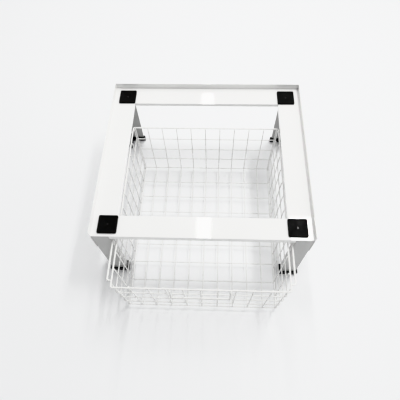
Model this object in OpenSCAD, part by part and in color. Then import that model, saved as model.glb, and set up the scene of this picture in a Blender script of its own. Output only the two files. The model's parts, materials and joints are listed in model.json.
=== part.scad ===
// Laundry pedestal: a sheet-steel stand for a washing machine with a pull-out
// wire basket. X is the width, -Y the front and Z is up. The basket is drawn
// partly pulled out, and the origin lies on the floor under the middle of the
// whole: midway between the handle's front and the frame's back.

/* [Frame] */
// Overall width across the two side panels
frame_w = 611; // [560:1:680]
// Overall depth of the deck
frame_d = 544; // [480:1:620]
// Height of the deck's top surface above the floor
deck_h = 286; // [266:2:360]
// Thickness of the frame's sheet steel
sheet = 1.5; // [1:0.25:2.5]

/* [Deck rails] */
// Width of each side rail, side panel included
side_rail_w = 70; // [66:1:80]
// Width of the front rail
front_rail_w = 63.5; // [60:0.5:80]
// Width of the back rail, back panel included
back_rail_w = 69.5; // [62:0.5:80]
// Depth of the flange folded down along the front edge
front_flange = 18; // [10:1:20]
// Depth of the flange folded down along the deck opening
inner_flange = 11.5; // [6:0.5:14]

/* [Rim panels] */
// Height of the side and back panels above the deck
rim_h = 20; // [10:1:40]
// Height of the same panels below the deck's top surface
skirt_h = 79; // [60:1:120]
// Radius of the rim's rounded front corners
rim_corner_r = 2; // [1:0.5:10]

/* [Legs] */
// Width of a leg's front wing
leg_wing_w = 50; // [42:1:54]
// Depth of a leg's side wing
leg_side_d = 38; // [32:1:60]
// Depth of the lip returned from a front leg's wing
leg_lip = 19; // [12:1:26]

/* [Foot shoes] */
// Height of a shoe
shoe_h = 20; // [14:1:30]
// Thickness of a shoe's sole
shoe_sole = 3; // [2:0.5:6]
// Thickness of a shoe's walls
shoe_wall = 5; // [1:0.25:6]
// Clearance between a shoe's slot and the leg
shoe_fit = 0.1; // [0.05:0.05:0.3]

/* [Pads] */
// Side of a square machine pad
pad_w = 54; // [46:1:56]
// Thickness of a pad
pad_t = 5; // [4:0.5:10]
// Corner radius of a pad
pad_r = 4; // [2:0.5:8]
// Width of the raised border round a pad's dished face
pad_border = 4; // [3:0.5:8]
// Depth of the dished face at its middle
pad_dish = 1.8; // [1:0.1:2.4]
// How far a pad reaches over the opening's side lines
pad_over = 2; // [0:0.5:4]
// How far all the pads stand towards the front of the opening's corners
pad_back_off = 1; // [0:0.5:3]
// Shank diameter of a pad screw
pad_screw_d = 3; // [2.5:0.5:4]
// Head diameter of a pad screw
pad_screw_head = 6; // [5:0.5:8]

/* [Runner channels] */
// Thickness of a channel's sheet
channel_t = 1.2; // [1:0.1:1.5]
// Play of the runner wire above and below, each
runner_play = 0.5; // [0.35:0.05:1]
// Play between the runner wire and the channel's web
runner_side_play = 2; // [1:0.25:2.5]
// How far a channel's lips reach inwards past the runner wire
channel_grip = 2.3; // [1.5:0.1:2.5]
// Width of the stop tabs
stop_w = 8; // [5:1:14]
// Gap left between a stop tab and the wire that it stops
stop_gap = 0.4; // [0.35:0.05:1]

/* [Rivets] */
// Shank diameter of the rivets
rivet_d = 4; // [3:0.5:5]
// Diameter of the rivet heads
rivet_head_d = 8; // [7:0.5:9]
// Thickness of the rivet heads
rivet_head_t = 1; // [0.6:0.2:1.6]
// Height of the lower side rivets above the skirt's lower edge
rivet_low = 16; // [8:1:24]
// Spacing of the side rivets up a leg
rivet_pitch = 38; // [16:1:50]

/* [Basket] */
// Clear space between the rim wire and each runner wire
runner_gap = 7.25; // [5:0.05:16]
// Clear space between the closed basket and the back panel
basket_back_gap = 12.25; // [5:0.25:60]
// Height of the rim wire's centre below the deck's top surface
rim_drop = 30; // [27:1:40]
// Height of the basket's underside above the floor
basket_clear = 20; // [12:1:60]
// How far the front wall leans in at the bottom
front_lean = 8; // [0:1:20]
// Cells across the basket's width
cells_x = 10; // [6:1:12]
// Spacing of the cross wires under the floor, from the back wall
floor_cell = 62; // [40:1:90]
// Spacing of the side uprights, from the front wall
side_cell = 46.2; // [30:0.2:70]
// Least length of the cell left over at the far end of either spacing
last_cell = 30; // [10:1:40]
// Rows of cells up the walls
rows = 4; // [3:1:5]

/* [Wires] */
// Diameter of the mesh wires
mesh_d = 3.2; // [2.4:0.2:4]
// Diameter of the rim wire
rim_d = 4.5; // [4:0.5:6]
// Diameter of the runner wires
runner_d = 5; // [4:0.5:7]
// How far a runner wire stops short of the rim's ends
runner_short = 19.5; // [18:0.5:40]
// Diameter of the handle wire
handle_d = 5; // [4:0.5:8]
// Centre-line radius where a mesh wire bends up
mesh_bend = 4; // [3.5:0.5:8]
// Centre-line radius of the hoops' corners
hoop_bend = 5; // [4:0.5:6]
// Centre-line radius of the rim's corners
rim_bend = 6; // [4:0.5:7]
// Seam between wires that are welded together
weld_gap = 0.05; // [0.02:0.01:0.1]

/* [Handle] */
// Width of the handle between its wire centres
handle_w = 160; // [100:2:240]
// Drop of the handle below the rim
handle_h = 50; // [34:1:54]
// Outward tilt of the handle
handle_tilt = 6; // [2:1:12]
// Centre-line radius of the handle's corners
handle_bend = 6; // [5:0.5:14]

/* [Travel] */
// How far the basket stands out of the frame as drawn
pulled_out = 131; // [100:1:160]
// Further travel to the fully open stop
open_more = 190; // [120:5:210]
// How far the closed basket's rim stands before the deck's edge
closed_proud = 3.25; // [1:0.25:6]

/* [Hidden] */
$fn = 48;

// How far a cut reaches past the faces that it opens
over = 1;

// Frame planes: the middle lies between the handle's front and the shoes' back
front_reach = pulled_out + closed_proud + weld_gap + handle_d + handle_h * sin(handle_tilt);
back_reach = max(0, shoe_wall - sheet);
front_y = (front_reach - back_reach - frame_d) / 2;
back_y = front_y + frame_d;
half_w = frame_w / 2;
deck_under = deck_h - sheet;
open_x = half_w - side_rail_w;
open_front = front_y + front_rail_w;
open_back = back_y - back_rail_w;
skirt_z = deck_h - skirt_h;

// Leg planes, measured on the front left leg
leg_x = half_w - sheet;
leg_in_x = leg_x - leg_wing_w;
rivet_y = leg_side_d / 2;
rivet_ys = [front_y + rivet_y, back_y - rivet_y];
lip_y = front_y + leg_lip / 2;
rivet_zs = [skirt_z + rivet_low, skirt_z + rivet_low + rivet_pitch];

// Pad places
pad_x = open_x - pad_over + pad_w / 2;
pad_front_y = open_front - pad_back_off - pad_w / 2;
pad_back_y = open_back - pad_back_off + pad_w / 2;
pad_places = [[-1, pad_front_y], [1, pad_front_y], [-1, pad_back_y], [1, pad_back_y]];
pad_floor = pad_t - pad_dish;
screw_head_t = pad_screw_head / 4;
screw_hole_d = pad_screw_d + 0.2;
screw_reach = 5;

// Runner and channel planes
rim_z = deck_h - rim_drop;
channel_web_x = leg_in_x - channel_t;
runner_x = channel_web_x - runner_side_play - runner_d / 2;
channel_in_h = runner_d + 2 * runner_play;
channel_h = channel_in_h + 2 * channel_t;
channel_lip_x = runner_x - runner_d / 2 - channel_grip;

// Basket planes, measured from the basket's middle
basket_l = frame_d - sheet - basket_back_gap + closed_proud;
rim_half_x = runner_x - (runner_d + rim_d) / 2 - runner_gap;
rim_half_y = basket_l / 2 - rim_d / 2;
basket_y = front_y - closed_proud - pulled_out + basket_l / 2;
upright_inset = (rim_d + mesh_d) / 2 + weld_gap;
top_x = rim_half_x - upright_inset;
top_y = rim_half_y - upright_inset;
long_z = basket_clear + 1.5 * mesh_d + weld_gap;
cross_z = basket_clear + mesh_d / 2;
hoop_out = mesh_d + weld_gap;
leg_entry = 0.4;
leg_slip = 0.06;
cell_x = 2 * rim_half_x / cells_x;
edge_x = top_x - hoop_out;
long_places = concat([-edge_x], [for (i = [1:cells_x - 1]) (i - cells_x / 2) * cell_x], [edge_x]);
cross_count = floor((2 * top_y - front_lean - last_cell) / floor_cell);
side_count = floor((2 * top_y - last_cell) / side_cell);
cross_places = [for (i = [1:cross_count]) top_y - i * floor_cell];
side_places = [for (i = [1:side_count]) i * side_cell - top_y];

// The lowest hoop nests outside the bends where the long wires turn up
nest = (mesh_bend + hoop_out) * sin(45);
lean_turn = atan(front_lean / (rim_z - long_z));
hoop_low_z = long_z + mesh_bend - nest;
hoop_low_back = top_y - mesh_bend + nest;
hoop_low_front = top_y - front_lean - mesh_bend * tan((90 - lean_turn) / 2) + nest;

// Runner ends and stops
runner_half = rim_half_y - runner_short;
runner_bend = runner_d;
open_stop_y = basket_y + runner_half - runner_d / 2 - open_more - stop_gap;
shut_stop_y = basket_y + runner_half + runner_d / 2 + pulled_out + stop_gap;

// Colours
WHITE = [0.95, 0.95, 0.94];
SHADE = [0.86, 0.86, 0.85];
BLACK = [0.06, 0.06, 0.06];
ZINC = [0.75, 0.76, 0.77];
COATED = [0.97, 0.97, 0.96];

// A box given by its lowest and highest corners
module span(a, b) {
  translate(a) cube(b - a);
}

// Copies its children to the left side and mirrors them to the right
module on_side(right) {
  mirror([right ? 1 : 0, 0, 0]) children();
}

// Deck rail of one side: plate, inner flange and two screw holes
module side_rail() {
  difference() {
    union() {
      span([-leg_x, front_y, deck_under], [-open_x, back_y - sheet, deck_h]);
      span([-open_x - sheet, open_front, deck_h - inner_flange], [-open_x, open_back, deck_h]);
    }
    for (y = [pad_front_y, pad_back_y])
      translate([-pad_x, y, deck_under - over]) cylinder(d = screw_hole_d, h = sheet + 2 * over);
  }
}

module left_rail() {
  color(WHITE) on_side(false) side_rail();
}

module right_rail() {
  color(WHITE) on_side(true) side_rail();
}

// Front rail: plate, front flange between the legs, and inner flange
module front_rail() {
  color(WHITE) {
    span([-open_x, front_y, deck_under], [open_x, open_front, deck_h]);
    span([-leg_in_x, front_y, deck_h - front_flange], [leg_in_x, front_y + sheet, deck_under]);
    span([-open_x, open_front - sheet, deck_h - inner_flange], [open_x, open_front, deck_h]);
  }
}

// Back rail: plate and inner flange
module back_rail() {
  color(WHITE) {
    span([-open_x, open_back, deck_under], [open_x, back_y - sheet, deck_h]);
    span([-open_x, open_back, deck_h - inner_flange], [open_x, open_back + sheet, deck_h]);
  }
}

// Rim and skirt of one side in one sheet, riveted to two legs
module side_panel() {
  difference() {
    translate([-half_w, 0, 0]) rotate([90, 0, 90]) linear_extrude(sheet)
      union() {
        translate([front_y, skirt_z]) square([frame_d, skirt_h + rim_h - rim_corner_r]);
        translate([front_y + rim_corner_r, skirt_z]) square([frame_d - rim_corner_r, skirt_h + rim_h]);
        translate([front_y + rim_corner_r, deck_h + rim_h - rim_corner_r]) circle(rim_corner_r);
      }
    for (y = rivet_ys, z = rivet_zs)
      translate([-half_w - over, y, z]) rotate([0, 90, 0]) cylinder(d = rivet_d, h = sheet + 2 * over);
  }
}

module left_panel() {
  color(WHITE) on_side(false) side_panel();
}

module right_panel() {
  color(WHITE) on_side(true) side_panel();
}

module back_panel() {
  color(WHITE) span([-leg_x, back_y - sheet, skirt_z], [leg_x, back_y, deck_h + rim_h]);
}

// Outline of an angle leg, grown by g all round, with its outer corner at the
// origin. A front leg's wing ends in a lip.
module leg_outline(g, lipped) {
  translate([-g, -g]) square([leg_wing_w + 2 * g, sheet + 2 * g]);
  translate([-g, -g]) square([sheet + 2 * g, leg_side_d + 2 * g]);
  if (lipped)
    translate([leg_wing_w - sheet - g, -g]) square([sheet + 2 * g, leg_lip + 2 * g]);
}

// Puts a leg's outline at its corner: the back legs stand inside the back panel
module at_leg(right, back) {
  mirror([right ? 1 : 0, 0, 0])
    translate([-leg_x, back ? back_y - sheet : front_y, 0])
      mirror([0, back ? 1 : 0, 0]) children();
}

// One leg with its rivet holes
module leg(right, back) {
  y0 = back ? rivet_y - sheet : rivet_y;
  color(SHADE) at_leg(right, back) difference() {
    translate([0, 0, shoe_sole]) linear_extrude(deck_under - shoe_sole) leg_outline(0, !back);
    for (z = rivet_zs)
      translate([-over, y0, z]) rotate([0, 90, 0]) cylinder(d = rivet_d, h = sheet + 2 * over);
    if (!back)
      translate([leg_wing_w - sheet - over, leg_lip / 2, rim_z]) rotate([0, 90, 0])
        cylinder(d = rivet_d, h = sheet + 2 * over);
  }
}

module leg_front_left() { leg(false, false); }
module leg_front_right() { leg(true, false); }
module leg_back_left() { leg(false, true); }
module leg_back_right() { leg(true, true); }

// Moulded shoe: a sole and walls on both sides of the leg's sheet
module shoe(right, back) {
  color(BLACK) at_leg(right, back) difference() {
    linear_extrude(shoe_h) leg_outline(shoe_wall, !back);
    translate([0, 0, shoe_sole]) linear_extrude(shoe_h) leg_outline(shoe_fit, !back);
  }
}

module shoe_front_left() { shoe(false, false); }
module shoe_front_right() { shoe(true, false); }
module shoe_back_left() { shoe(false, true); }
module shoe_back_right() { shoe(true, true); }

// A square with rounded corners, centred
module rounded_square(w, r) {
  square([w, w - 2 * r], center = true);
  square([w - 2 * r, w], center = true);
  for (x = [-1, 1], y = [-1, 1])
    translate([x * (w / 2 - r), y * (w / 2 - r)]) circle(r);
}

// Rubber pad: raised border, face dished like a shallow pyramid, countersunk hole
module pad(place) {
  well = pad_w - 2 * pad_border;
  color(BLACK) translate([place[0] * pad_x, place[1], deck_h]) difference() {
    linear_extrude(pad_t) rounded_square(pad_w, pad_r);
    hull() {
      translate([-well / 2, -well / 2, pad_t - 0.6]) cube([well, well, 1]);
      translate([-pad_screw_head / 2, -pad_screw_head / 2, pad_floor]) cube([pad_screw_head, pad_screw_head, 1]);
    }
    translate([0, 0, -over]) cylinder(d = screw_hole_d, h = pad_t + 2 * over);
    translate([0, 0, pad_floor - screw_head_t - 0.1])
      cylinder(d1 = screw_hole_d, d2 = pad_screw_head + 0.4, h = screw_head_t + 0.2);
  }
}

module pad_front_left() { pad(pad_places[0]); }
module pad_front_right() { pad(pad_places[1]); }
module pad_back_left() { pad(pad_places[2]); }
module pad_back_right() { pad(pad_places[3]); }

// Countersunk screws through the pads into the deck
module pad_screws() {
  color(ZINC) for (p = pad_places) translate([p[0] * pad_x, p[1], deck_h + pad_floor]) {
    translate([0, 0, -screw_head_t]) cylinder(d1 = pad_screw_d, d2 = pad_screw_head, h = screw_head_t);
    translate([0, 0, -pad_floor - sheet - screw_reach])
      cylinder(d = pad_screw_d, h = pad_floor + sheet + screw_reach);
  }
}

// A rivet along X: flat head at x = 0 outside, grip, and formed head inside
module rivet(grip, head_t) {
  rotate([0, 90, 0]) {
    translate([0, 0, -head_t]) cylinder(d = rivet_head_d, h = head_t);
    translate([0, 0, -head_t]) cylinder(d = rivet_d - 0.1, h = grip + head_t + 0.5);
    translate([0, 0, grip]) cylinder(d = rivet_head_d - 1, h = rivet_head_t);
  }
}

// Rivets from the side panels into the legs
module leg_rivets() {
  color(ZINC) for (right = [false, true], y = rivet_ys, z = rivet_zs)
    on_side(right) translate([-half_w, y, z]) rivet(2 * sheet, rivet_head_t);
}

// A tab folded down from the channel's upper lip
module stop_tab(y) {
  span([-channel_lip_x, y, rim_z - channel_h / 2], [-channel_lip_x + channel_t, y + stop_w, rim_z + channel_h / 2]);
}

// C-shaped runner channel, open to the inside, with two stop tabs: riveted to the
// front leg's lip and welded to the back panel
module channel(right) {
  color(WHITE) on_side(right) difference() {
    union() {
      difference() {
        span([-leg_in_x, front_y + sheet, rim_z - channel_h / 2],
             [-channel_lip_x, back_y - sheet, rim_z + channel_h / 2]);
        span([-channel_web_x, front_y, rim_z - channel_in_h / 2],
             [-channel_lip_x + over, back_y, rim_z + channel_in_h / 2]);
      }
      stop_tab(open_stop_y - stop_w);
      stop_tab(shut_stop_y);
    }
    translate([-leg_in_x - over, lip_y, rim_z]) rotate([0, 90, 0]) cylinder(d = rivet_d, h = channel_t + 2 * over);
  }
}

module channel_left() { channel(false); }
module channel_right() { channel(true); }

// Rivets holding the channels to the front legs' lips, flush inside the channel
module channel_rivets() {
  color(ZINC) for (right = [false, true])
    on_side(right) translate([-leg_in_x - sheet, lip_y, rim_z]) rotate([0, 90, 0]) {
      translate([0, 0, -rivet_head_t]) cylinder(d = rivet_head_d, h = rivet_head_t);
      cylinder(d = rivet_d - 0.1, h = sheet + channel_t);
    }
}

// A straight wire along X, centred on its start
module rod(d, l) {
  rotate([0, 90, 0]) cylinder(d = d, h = l);
}

// A bend in the XY plane: starts along +X at the origin and turns left by a
module bend(d, r, a) {
  translate([0, r, 0]) rotate([0, 0, -90]) rotate_extrude(angle = a) translate([r, 0]) circle(d = d);
}

// Closed rectangular wire hoop with round corners, lying level
module hoop(hx, hy, d, r) {
  for (s = [0, 1]) rotate([0, 0, 180 * s]) {
    translate([-hx + r, -hy, 0]) {
      rod(d, 2 * (hx - r));
      translate([2 * (hx - r), 0, 0]) bend(d, r, 90);
    }
    translate([hx, -hy + r, 0]) rotate([0, 0, 90]) {
      rod(d, 2 * (hy - r));
      translate([2 * (hy - r), 0, 0]) bend(d, r, 90);
    }
  }
}

// Half of a U-shaped wire in the XZ plane, from its middle out: its reach at the
// floor and at the top, floor height and top height. The leg leans out as it rises.
// It is a hair thinner than its bend and starts just inside it, so that they join.
module half_u(low, top, z_low, z_top, d, r) {
  rise = z_top - z_low;
  lean = atan((top - low) / rise);
  turn = 90 - lean;
  run = r * tan(turn / 2);
  leg_l = rise / cos(lean) - run + leg_entry;
  leg_start = run - leg_entry;
  flat = low - run;
  translate([0, 0, z_low]) {
    rod(d, flat);
    translate([flat, 0, 0]) rotate([90, 0, 0]) bend(d, r, turn);
    translate([low + leg_start * sin(lean), 0, leg_start * cos(lean)]) rotate([0, lean, 0])
      cylinder(d = d - leg_slip, h = leg_l);
  }
}

// Moves a basket piece to the basket's place as drawn
module at_basket() {
  translate([0, basket_y, 0]) children();
}

module basket_rim() {
  color(COATED) at_basket() translate([0, 0, rim_z]) hoop(rim_half_x, rim_half_y, rim_d, rim_bend);
}

// A size kept to a fiftieth of a millimetre, so that a hoop's pieces meet exactly
function snap(v) = round(v * 50) / 50;

// Level hoops welded outside the uprights; the lowest carries their feet
module basket_hoops() {
  color(COATED) at_basket() for (i = [1:rows]) {
    z = rim_z + (hoop_low_z - rim_z) * i / rows;
    back = snap(i == rows ? hoop_low_back : top_y + hoop_out);
    front = snap(i == rows ? hoop_low_front : top_y + hoop_out - (rim_z - z) * tan(lean_turn));
    translate([0, (back - front) / 2, z])
      hoop(snap(top_x + hoop_out), (back + front) / 2, mesh_d, hoop_bend);
  }
}

// Wires that run front to back and turn up both end walls
module basket_long_wires() {
  color(COATED) at_basket() for (x = long_places) translate([x, 0, 0]) rotate([0, 0, 90]) {
    half_u(top_y, top_y, long_z, rim_z, mesh_d, mesh_bend);
    mirror([1, 0, 0]) half_u(top_y - front_lean, top_y, long_z, rim_z, mesh_d, mesh_bend);
  }
}

// Straight wires welded across under the long ones
module basket_cross_wires() {
  color(COATED) at_basket() for (y = cross_places)
    translate([-edge_x - mesh_d / 2, y, cross_z]) rod(mesh_d, 2 * edge_x + mesh_d);
}

// Uprights of both side walls, from the lowest hoop to the rim; the one at the
// front corner leans with the front wall
module basket_side_wires() {
  foot = hoop_low_z - mesh_d / 2;
  rise = rim_z - foot;
  color(COATED) at_basket() for (side = [-1, 1]) translate([side * top_x, 0, foot]) {
    for (y = concat(side_places, [hoop_low_back - hoop_bend]))
      translate([0, y, 0]) cylinder(d = mesh_d, h = rise);
    translate([0, hoop_bend - hoop_low_front, 0]) rotate([lean_turn, 0, 0])
      cylinder(d = mesh_d, h = rise / cos(lean_turn));
  }
}

// Thick runner wire beside the rim, with both ends turned in and welded to it
module runner(right) {
  arm = runner_x - runner_bend - rim_half_x - rim_d / 2 - weld_gap;
  color(COATED) on_side(right) at_basket() translate([0, 0, rim_z]) for (s = [0, 1]) mirror([0, s, 0]) {
    translate([-runner_x, 0, 0]) rotate([0, 0, 90]) mirror([0, 1, 0]) {
      rod(runner_d, runner_half - runner_bend);
      translate([runner_half - runner_bend, 0, 0]) bend(runner_d, runner_bend, 90);
    }
    translate([-runner_x + runner_bend, runner_half, 0]) rod(runner_d, arm);
  }
}

module runner_left() { runner(false); }
module runner_right() { runner(true); }

// Pull handle: a wire loop welded to the front of the rim, tilted out
module handle() {
  drop = handle_h - handle_bend;
  color(COATED) at_basket()
    translate([0, -rim_half_y - (rim_d + handle_d) / 2 - weld_gap, rim_z]) rotate([-handle_tilt, 0, 0])
      for (s = [0, 1]) mirror([s, 0, 0]) translate([0, 0, -handle_h]) {
        rod(handle_d, handle_w / 2 - handle_bend);
        translate([handle_w / 2 - handle_bend, 0, 0]) rotate([90, 0, 0]) bend(handle_d, handle_bend, 90);
        translate([handle_w / 2, 0, handle_bend]) cylinder(d = handle_d, h = drop);
      }
}

left_rail();
right_rail();
front_rail();
back_rail();
left_panel();
right_panel();
back_panel();
leg_front_left();
leg_front_right();
leg_back_left();
leg_back_right();
shoe_front_left();
shoe_front_right();
shoe_back_left();
shoe_back_right();
pad_front_left();
pad_front_right();
pad_back_left();
pad_back_right();
pad_screws();
leg_rivets();
channel_left();
channel_right();
channel_rivets();
basket_rim();
basket_hoops();
basket_long_wires();
basket_cross_wires();
basket_side_wires();
runner_left();
runner_right();
handle();
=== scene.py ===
"""Laundry pedestal: the looks of a sheet-steel washing-machine stand with a pull-out wire basket."""
import json
import math

import bmesh
import bpy
from bpy.props import FloatProperty, FloatVectorProperty, IntProperty, PointerProperty
from mathutils import Matrix, Vector


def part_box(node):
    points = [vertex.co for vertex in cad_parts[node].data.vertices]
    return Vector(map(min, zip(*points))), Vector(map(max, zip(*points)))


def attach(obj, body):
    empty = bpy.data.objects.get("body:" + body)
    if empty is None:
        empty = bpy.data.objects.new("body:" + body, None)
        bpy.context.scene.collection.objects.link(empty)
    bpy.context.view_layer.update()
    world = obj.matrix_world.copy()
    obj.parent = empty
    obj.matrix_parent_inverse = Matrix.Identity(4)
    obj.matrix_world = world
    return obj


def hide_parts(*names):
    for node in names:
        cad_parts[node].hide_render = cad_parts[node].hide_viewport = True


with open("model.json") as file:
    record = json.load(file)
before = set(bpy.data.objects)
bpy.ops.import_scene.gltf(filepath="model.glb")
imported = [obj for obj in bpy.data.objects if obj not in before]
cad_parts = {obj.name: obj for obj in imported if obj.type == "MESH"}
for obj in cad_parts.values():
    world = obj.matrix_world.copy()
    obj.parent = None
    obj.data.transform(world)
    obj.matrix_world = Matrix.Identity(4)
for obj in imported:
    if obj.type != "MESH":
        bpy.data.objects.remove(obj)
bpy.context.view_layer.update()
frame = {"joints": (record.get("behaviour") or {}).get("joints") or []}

bl_info = {
    "name": "Laundry pedestal",
    "version": (1, 0, 0),
    "blender": (4, 5, 0),
    "location": "View3D > Sidebar > Pedestal",
    "description": "Builds the looks of a laundry pedestal with a pull-out wire basket",
    "category": "Object",
}

MM = 0.001
LEFT, RIGHT = -1, 1
SIDES = (("left", LEFT), ("right", RIGHT))
CORNERS = (("front_left", LEFT, False), ("front_right", RIGHT, False),
           ("back_left", LEFT, True), ("back_right", RIGHT, True))

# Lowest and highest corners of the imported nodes
PANEL_LOW, PANEL_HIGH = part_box("left_panel")
RAIL_LOW, RAIL_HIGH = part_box("left_rail")
FRONT_LOW, FRONT_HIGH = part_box("front_rail")
BACK_LOW, BACK_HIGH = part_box("back_rail")
BACK_PANEL_LOW, BACK_PANEL_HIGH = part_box("back_panel")
LEG_LOW, LEG_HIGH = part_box("leg_front_left")
CHANNEL_LOW, CHANNEL_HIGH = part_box("channel_left")
RIM_LOW, RIM_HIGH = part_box("basket_rim")
RUNNER_LOW, RUNNER_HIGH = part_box("runner_left")
HANDLE_LOW, HANDLE_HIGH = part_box("handle")
LONG_LOW, CROSS_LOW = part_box("basket_long_wires")[0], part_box("basket_cross_wires")[0]

# Planes that several pieces share
FRONT_Y, BACK_Y = PANEL_LOW.y, PANEL_HIGH.y
HALF_W, LEG_X = -PANEL_LOW.x, -PANEL_HIGH.x
DECK_Z = RAIL_HIGH.z
OPEN_X, OPEN_FRONT, OPEN_BACK = -RAIL_HIGH.x, FRONT_HIGH.y, BACK_LOW.y
BASKET_Y = (RIM_LOW.y + RIM_HIGH.y) / 2
RIM_Z = (RIM_LOW.z + RIM_HIGH.z) / 2

# Mesh rules
SHARP_FOLD = math.radians(38)  # an edge folded by more than this is shaded sharp
ROUNDED_FOLD = 0.7  # least fold, in radians, of an edge that gets rounded
ON_PLANE = 2e-6  # how far from a plane a point may lie and still be on it
EDGE_SEGMENTS, PANEL_SEGMENTS, MOULD_SEGMENTS, FOLD_SEGMENTS = 2, 3, 4, 5
FOLD_STEPS, CORNER_STEPS, DOME_STEPS, BEND_STEPS, HANDLE_STEPS = 6, 6, 6, 8, 10
WIRE_SIDES, THICK_WIRE_SIDES, RIVET_SIDES, SCREW_SIDES = 14, 18, 28, 32
# A wire's domed end: how far from the end, and how wide, as parts of the wire's radius
WIRE_END = ((0.0, 0.45), (0.06, 0.72), (0.25, 0.93), (0.55, 1.0))
BIG_WELD = 1.5  # the runners' and handle's weld spots against the mesh's
WELD_FLATNESS = 0.6  # thickness of a weld spot against its width

# Radii of a side panel's other corners, a channel's folds and cut edges, and a shoe's slot
PANEL_CORNER, CHANNEL_FOLD, CHANNEL_EDGE, SLOT_EDGE = 0.8 * MM, 0.8 * MM, 0.25 * MM, 0.3 * MM
STOP_GAP = 0.4 * MM  # between a runner's end and a stop tab
PAD_FOOT = 0.4 * MM  # slant at the foot of a pad's sides
HEAD_FIT, HOLE_FIT = 0.2 * MM, 0.1 * MM  # clearance round a pad screw's head and shank
PITCH = 0.7 * MM  # one turn of a pad screw's thread
WELD_DROP = 0.8 * MM  # how far under the rim's middle its weld spots sit

# Small shapes in mm. Pads:
PAD_EDGE = ((0.0, 0.0, 1.1), (0.18, 0.0, 0.5), (0.55, 0.4, 0.14), (1.1, 0.8, 0.0))  # in, tighter corner, down
PAD_STEP = ((0.7, 2.2, 0.0), (0.25, 1.9, 0.12))  # out from the dish, corner radius, down from the top
PAD_DISH = ((0.0, 1.7, 0.0), (0.5, 1.2, 0.07))  # in from the dish's side, corner radius, down from the lip
DISH_ROWS, DISH_CORNER = 6, 0.9  # facets of the dish, and their corner radius
DISH_DROP, DISH_END = 0.1, 1.2  # the dish starts under its lip and ends outside the screw
SEAT_EDGE = (0.25, 0.05)  # rounding round the screw's seat: out and down
# Screws:
SCREW_RIM = ((0.35, 0.0), (0.08, 0.08), (0.0, 0.25))  # in from the head's side, down from its top
SCREW_NECK = (0.1, 0.3)  # under the head: the plain neck and the first thread
SCREW_PLAIN, THREAD_DEPTH = 1.2, 0.32  # length without a thread, depth of the thread
SCREW_TIP = ((0.1, 0.5), (0.6, 0.0))  # in from the shank's side, up from the tip
RECESS_ARM, RECESS_HALF_WIDTH, RECESS_TURN = 0.58, 0.45, 35  # part of the head's radius, mm, degrees
RECESS_ROWS = ((-1.5, 0.45), (0.3, 1.05))  # height over the head, part of the arm's length there
# Formed ends of the leg rivets:
FORMED_END = ((0.5, 0.0), (0.6, 0.5))  # in from the head's side, down from the sheet
FORMED_TOP = 1.4  # in from the head's side, at the end

# The photograph's camera: its place, and the picture's right and down
CAMERA_PLACE = (0.0332, -0.58755, 1.2349)
CAMERA_RIGHT = (0.99913, 0.03291, -0.02573)
CAMERA_DOWN = (0.01701, -0.883, -0.46906)
CAMERA_CLIP = (0.01, 100.0)
SENSOR_WIDTH = 36.0
# Ceiling strips: place across the floor and size
SIDE_STRIP = ((0.845, 0.5255), (0.20, 0.90))
BACK_STRIP = ((-0.062, 1.5255), (0.13, 2.0))
STRIP_COLOUR = (1.0, 0.997, 0.99)
ROOM_COLOUR = (1.0, 1.0, 0.995)


def number(name, description, value, **more):
    """A number that the sidebar shows."""
    return FloatProperty(name=name, description=description, default=value, **more)


def length(name, description, millimetres):
    """A size given in millimetres and kept in metres."""
    return number(name, description, millimetres * MM, subtype="DISTANCE", unit="LENGTH",
                  precision=5, min=0.0)


def share(name, description, value):
    """A number from 0 to 1."""
    return number(name, description, value, min=0.0, max=1.0, subtype="FACTOR")


def colour(name, description, value):
    """A linear colour."""
    return FloatVectorProperty(name=name, description=description, default=value, subtype="COLOR",
                               size=3, min=0.0, max=1.0)


def count(name, description, value, low, high):
    """A whole number."""
    return IntProperty(name=name, description=description, default=value, min=low, max=high)


class SheetSettings(bpy.types.PropertyGroup):
    """Sizes of the folded sheet steel."""
    thickness: length("Sheet", "Thickness of the frame's sheet steel", 1.5)
    fold: length("Fold", "Outer radius of the deck's folds", 1.4)
    edge: length("Edge", "Rounding that the coating leaves on cut edges", 0.35)
    leg_bend: length("Leg bend", "Centre-line radius of a leg's folds", 2.2)
    lip: length("Lip", "Depth of the lip returned from a front leg's wing", 19.0)
    rim_corner: length("Rim corner", "Radius of the rim's front corners", 2.0)
    channel_thickness: length("Channel", "Thickness of a runner channel's sheet", 1.2)
    stop_width: length("Stop tab", "Width of a channel's stop tabs", 8.0)


class FootSettings(bpy.types.PropertyGroup):
    """Sizes of the shoes, the machine pads and the fasteners."""
    shoe_wall: length("Shoe wall", "Wall of a shoe on each side of the leg", 5.0)
    shoe_fit: length("Shoe fit", "Clearance between a shoe's slot and the leg", 0.1)
    shoe_sole: length("Shoe sole", "Thickness of a shoe's sole", 3.0)
    shoe_edge: length("Shoe edge", "Rounding of a shoe's outer edges", 1.1)
    pad_border: length("Pad border", "Width of the raised border round a pad", 4.0)
    pad_corner: length("Pad corner", "Corner radius of a pad", 4.0)
    pad_dish: length("Pad dish", "Depth of a pad's dished face", 1.8)
    pad_lip: length("Pad lip", "Step from a pad's border down to its face", 0.6)
    screw_head: length("Screw head", "Head diameter of a pad screw", 6.0)
    screw_shank: length("Screw shank", "Shank diameter of a pad screw", 3.0)
    rivet_head: length("Rivet head", "Head diameter of a rivet", 8.0)
    rivet_shank: length("Rivet shank", "Shank diameter of a rivet", 3.9)


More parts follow.
